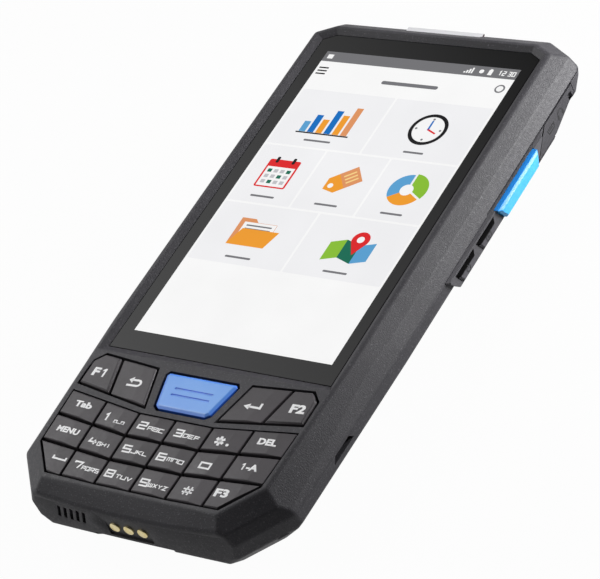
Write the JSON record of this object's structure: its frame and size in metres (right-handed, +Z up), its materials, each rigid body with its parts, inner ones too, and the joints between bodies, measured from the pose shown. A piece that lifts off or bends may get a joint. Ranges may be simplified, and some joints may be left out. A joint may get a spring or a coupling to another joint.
{
  "type": "handheld barcode data terminal",
  "caption": "Rugged handheld barcode data terminal with touch display, angled keypad, blue centre scan key, side scan keys, hinged port cover and removable battery door.",
  "frame": {"origin": "middle of the rest plane under the back, screen facing up", "axes": "+X to the right side as the screen is read, +Y toward the scanner end, +Z up out of the screen"},
  "size_m": [0.076, 0.1437, 0.0183],
  "materials": {
    "housing": "fine grain",
    "side_trim": "satin",
    "key_cap": "satin",
    "scan_blue": "satin",
    "cover_rubber": "matte",
    "display_glass": "polished",
    "seal_rubber": "matte",
    "screen": "polished",
    "silicone": "matte",
    "circuit_board": "satin",
    "frame_metal": "satin",
    "can_steel": "brushed",
    "module_black": "matte",
    "clear_window": "polished",
    "contact_gold": "polished",
    "battery_wrap": "matte"
  },
  "bodies": {
    "housing": {"battery": "battery_wrap", "battery_terminals": "contact_gold", "camera_module": "module_black", "camera_window": "clear_window", "charging_pins": "contact_gold", "contact_block": "module_black", "display_glass": "display_glass", "display_seal": "seal_rubber", "flash_window": "clear_window", "frame_plate": "frame_metal", "front_housing": "housing", "headphone_jack": "module_black", "housing_screws": "can_steel", "keypad_board": "circuit_board", "keypad_mat": "silicone", "loudspeaker": "module_black", "main_board": "circuit_board", "microphone": "module_black", "rear_housing": "housing", "scan_engine": "module_black", "scanner_window": "clear_window", "screen_module": "screen", "shield_cans": "can_steel", "side_bezel_left": "side_trim", "side_bezel_right": "side_trim", "side_switches": "module_black", "usb_connector": "can_steel"},
    "key_0_body": {"key_0": "key_cap"},
    "key_1_body": {"key_1": "key_cap"},
    "key_2_body": {"key_2": "key_cap"},
    "key_3_body": {"key_3": "key_cap"},
    "key_4_body": {"key_4": "key_cap"},
    "key_5_body": {"key_5": "key_cap"},
    "key_6_body": {"key_6": "key_cap"},
    "key_7_body": {"key_7": "key_cap"},
    "key_8_body": {"key_8": "key_cap"},
    "key_9_body": {"key_9": "key_cap"},
    "key_back_body": {"key_back": "key_cap"},
    "key_del_body": {"key_del": "key_cap"},
    "key_enter_body": {"key_enter": "key_cap"},
    "key_f1_body": {"key_f1": "key_cap"},
    "key_f2_body": {"key_f2": "key_cap"},
    "key_f3_body": {"key_f3": "key_cap"},
    "key_hash_body": {"key_hash": "key_cap"},
    "key_menu_body": {"key_menu": "key_cap"},
    "key_scan_centre_body": {"key_scan_centre": "scan_blue"},
    "key_shift_body": {"key_shift": "key_cap"},
    "key_space_body": {"key_space": "key_cap"},
    "key_star_body": {"key_star": "key_cap"},
    "key_tab_body": {"key_tab": "key_cap"},
    "scan_key_right_body": {"scan_key_right": "scan_blue"},
    "camera_key_body": {"camera_key": "side_trim"},
    "power_key_body": {"power_key": "side_trim"},
    "scan_key_left_body": {"scan_key_left": "scan_blue"},
    "volume_up_key_body": {"volume_up_key": "side_trim"},
    "volume_down_key_body": {"volume_down_key": "side_trim"},
    "port_cover_body": {"port_cover": "cover_rubber"},
    "battery_door_body": {"battery_door": "housing"},
    "door_lock_low_body": {"door_lock_low": "side_trim"},
    "door_lock_high_body": {"door_lock_high": "side_trim"}
  },
  "joints": [
    {"name": "port_cover_swing", "type": "hinge", "parent": "housing", "child": "port_cover_body", "pos_m": [0.036, 0.0434, 0.0095], "axis": [0, 0, -1], "range_deg": [0, 90]},
    {"name": "battery_door_lift", "type": "slide", "parent": "housing", "child": "battery_door_body", "axis": [0, 0, -1], "range_m": [0, 0.01]},
    {"name": "door_lock_low_turn", "type": "hinge", "parent": "battery_door_body", "child": "door_lock_low_body", "pos_m": [0, -0.0495, 0.0012], "axis": [0, 0, 1], "range_deg": [0, 90]},
    {"name": "door_lock_high_turn", "type": "hinge", "parent": "battery_door_body", "child": "door_lock_high_body", "pos_m": [0, 0.0303, 0.0012], "axis": [0, 0, 1], "range_deg": [0, 90]},
    {"name": "scan_key_right_press", "type": "slide", "parent": "housing", "child": "scan_key_right_body", "axis": [-1, 0, 0], "range_m": [0, 0.0006], "stiffness_N_per_m": 1800, "springref_m": -0.0003},
    {"name": "camera_key_press", "type": "slide", "parent": "housing", "child": "camera_key_body", "axis": [-1, 0, 0], "range_m": [0, 0.0006], "stiffness_N_per_m": 1800, "springref_m": -0.0003},
    {"name": "power_key_press", "type": "slide", "parent": "housing", "child": "power_key_body", "axis": [-1, 0, 0], "range_m": [0, 0.0006], "stiffness_N_per_m": 1800, "springref_m": -0.0003},
    {"name": "scan_key_left_press", "type": "slide", "parent": "housing", "child": "scan_key_left_body", "axis": [1, 0, 0], "range_m": [0, 0.0006], "stiffness_N_per_m": 1800, "springref_m": -0.0003},
    {"name": "volume_up_key_press", "type": "slide", "parent": "housing", "child": "volume_up_key_body", "axis": [1, 0, 0], "range_m": [0, 0.0006], "stiffness_N_per_m": 1800, "springref_m": -0.0003},
    {"name": "volume_down_key_press", "type": "slide", "parent": "housing", "child": "volume_down_key_body", "axis": [1, 0, 0], "range_m": [0, 0.0006], "stiffness_N_per_m": 1800, "springref_m": -0.0003},
    {"name": "key_0_press", "type": "slide", "parent": "housing", "child": "key_0_body", "axis": [0, 0, -1], "range_m": [0, 0.0005], "stiffness_N_per_m": 1500, "springref_m": -0.0003},
    {"name": "key_1_press", "type": "slide", "parent": "housing", "child": "key_1_body", "axis": [0, 0, -1], "range_m": [0, 0.0005], "stiffness_N_per_m": 1500, "springref_m": -0.0003},
    {"name": "key_2_press", "type": "slide", "parent": "housing", "child": "key_2_body", "axis": [0, 0, -1], "range_m": [0, 0.0005], "stiffness_N_per_m": 1500, "springref_m": -0.0003},
    {"name": "key_3_press", "type": "slide", "parent": "housing", "child": "key_3_body", "axis": [0, 0, -1], "range_m": [0, 0.0005], "stiffness_N_per_m": 1500, "springref_m": -0.0003},
    {"name": "key_4_press", "type": "slide", "parent": "housing", "child": "key_4_body", "axis": [0, 0, -1], "range_m": [0, 0.0005], "stiffness_N_per_m": 1500, "springref_m": -0.0003},
    {"name": "key_5_press", "type": "slide", "parent": "housing", "child": "key_5_body", "axis": [0, 0, -1], "range_m": [0, 0.0005], "stiffness_N_per_m": 1500, "springref_m": -0.0003},
    {"name": "key_6_press", "type": "slide", "parent": "housing", "child": "key_6_body", "axis": [0, 0, -1], "range_m": [0, 0.0005], "stiffness_N_per_m": 1500, "springref_m": -0.0003},
    {"name": "key_7_press", "type": "slide", "parent": "housing", "child": "key_7_body", "axis": [0, 0, -1], "range_m": [0, 0.0005], "stiffness_N_per_m": 1500, "springref_m": -0.0003},
    {"name": "key_8_press", "type": "slide", "parent": "housing", "child": "key_8_body", "axis": [0, 0, -1], "range_m": [0, 0.0005], "stiffness_N_per_m": 1500, "springref_m": -0.0003},
    {"name": "key_9_press", "type": "slide", "parent": "housing", "child": "key_9_body", "axis": [0, 0, -1], "range_m": [0, 0.0005], "stiffness_N_per_m": 1500, "springref_m": -0.0003},
    {"name": "key_back_press", "type": "slide", "parent": "housing", "child": "key_back_body", "axis": [0, 0, -1], "range_m": [0, 0.0005], "stiffness_N_per_m": 1500, "springref_m": -0.0003},
    {"name": "key_del_press", "type": "slide", "parent": "housing", "child": "key_del_body", "axis": [0, 0, -1], "range_m": [0, 0.0005], "stiffness_N_per_m": 1500, "springref_m": -0.0003},
    {"name": "key_enter_press", "type": "slide", "parent": "housing", "child": "key_enter_body", "axis": [0, 0, -1], "range_m": [0, 0.0005], "stiffness_N_per_m": 1500, "springref_m": -0.0003},
    {"name": "key_f1_press", "type": "slide", "parent": "housing", "child": "key_f1_body", "axis": [0, 0, -1], "range_m": [0, 0.0005], "stiffness_N_per_m": 1500, "springref_m": -0.0003},
    {"name": "key_f2_press", "type": "slide", "parent": "housing", "child": "key_f2_body", "axis": [0, 0, -1], "range_m": [0, 0.0005], "stiffness_N_per_m": 1500, "springref_m": -0.0003},
    {"name": "key_f3_press", "type": "slide", "parent": "housing", "child": "key_f3_body", "axis": [0, 0, -1], "range_m": [0, 0.0005], "stiffness_N_per_m": 1500, "springref_m": -0.0003},
    {"name": "key_hash_press", "type": "slide", "parent": "housing", "child": "key_hash_body", "axis": [0, 0, -1], "range_m": [0, 0.0005], "stiffness_N_per_m": 1500, "springref_m": -0.0003},
    {"name": "key_menu_press", "type": "slide", "parent": "housing", "child": "key_menu_body", "axis": [0, 0, -1], "range_m": [0, 0.0005], "stiffness_N_per_m": 1500, "springref_m": -0.0003},
    {"name": "key_scan_centre_press", "type": "slide", "parent": "housing", "child": "key_scan_centre_body", "axis": [0, 0, -1], "range_m": [0, 0.0005], "stiffness_N_per_m": 1500, "springref_m": -0.0003},
    {"name": "key_shift_press", "type": "slide", "parent": "housing", "child": "key_shift_body", "axis": [0, 0, -1], "range_m": [0, 0.0005], "stiffness_N_per_m": 1500, "springref_m": -0.0003},
    {"name": "key_space_press", "type": "slide", "parent": "housing", "child": "key_space_body", "axis": [0, 0, -1], "range_m": [0, 0.0005], "stiffness_N_per_m": 1500, "springref_m": -0.0003},
    {"name": "key_star_press", "type": "slide", "parent": "housing", "child": "key_star_body", "axis": [0, 0, -1], "range_m": [0, 0.0005], "stiffness_N_per_m": 1500, "springref_m": -0.0003},
    {"name": "key_tab_press", "type": "slide", "parent": "housing", "child": "key_tab_body", "axis": [0, 0, -1], "range_m": [0, 0.0005], "stiffness_N_per_m": 1500, "springref_m": -0.0003}
  ]
}
